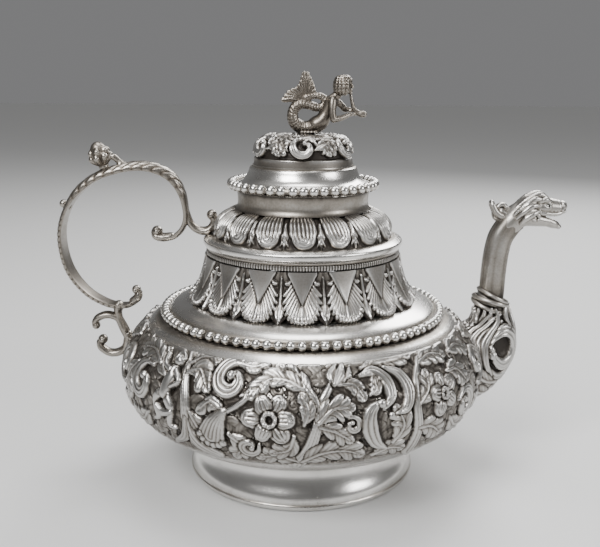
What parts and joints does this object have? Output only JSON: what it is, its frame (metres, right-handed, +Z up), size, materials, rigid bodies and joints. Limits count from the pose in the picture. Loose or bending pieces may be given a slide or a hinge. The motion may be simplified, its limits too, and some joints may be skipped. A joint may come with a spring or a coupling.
{
  "type": "teapot",
  "caption": "Squat chased metal teapot on a plain foot, with stepped tiers, a beast-head spout, a scrolled strap handle and a lift-off lid topped by a merman finial.",
  "frame": {"origin": "middle of the foot's resting circle, on the body's axis, on the surface the teapot stands on", "axes": "+Z up, +X out along the spout, -X along the handle, +Y to the left of someone looking along +X"},
  "size_m": [0.232, 0.166, 0.1843],
  "materials": {
    "plain_silver": "polished sterling silver with fine scratches and a light warm tarnish",
    "chased_silver": "chased silver, bright on the high parts and dark brown-grey in the recesses",
    "cast_silver": "cast and chased silver with oxidised recesses"
  },
  "bodies": {
    "pot": {"bowl": "chased_silver", "foot_ring": "plain_silver", "foot_wire": "plain_silver", "shoulder": "plain_silver", "waist_beading": "plain_silver", "leaf_tier": "chased_silver", "milled_band": "plain_silver", "shelf": "plain_silver", "tongue_tier": "chased_silver", "neck": "plain_silver", "neck_wire": "plain_silver", "spout_body": "chased_silver", "spout_collar": "plain_silver", "spout_neck": "plain_silver", "spout_head": "cast_silver", "spout_crest": "cast_silver", "handle_strap": "plain_silver", "handle_top_scroll": "plain_silver", "handle_bracket": "plain_silver", "handle_lower_scroll": "plain_silver", "thumb_bud": "cast_silver", "bud_twig": "plain_silver", "handle_knob": "plain_silver"},
    "lid": {"lid_cap": "plain_silver", "lid_crown": "chased_silver", "lid_beading": "plain_silver", "lid_bezel": "plain_silver", "finial_figure": "cast_silver", "finial_stud": "plain_silver", "finial_washer": "plain_silver", "finial_nut": "plain_silver"}
  },
  "joints": [
    {"name": "lid_lift", "type": "slide", "parent": "pot", "child": "lid", "axis": [0, 0, 1], "range_m": [0, 0.06]}
  ]
}
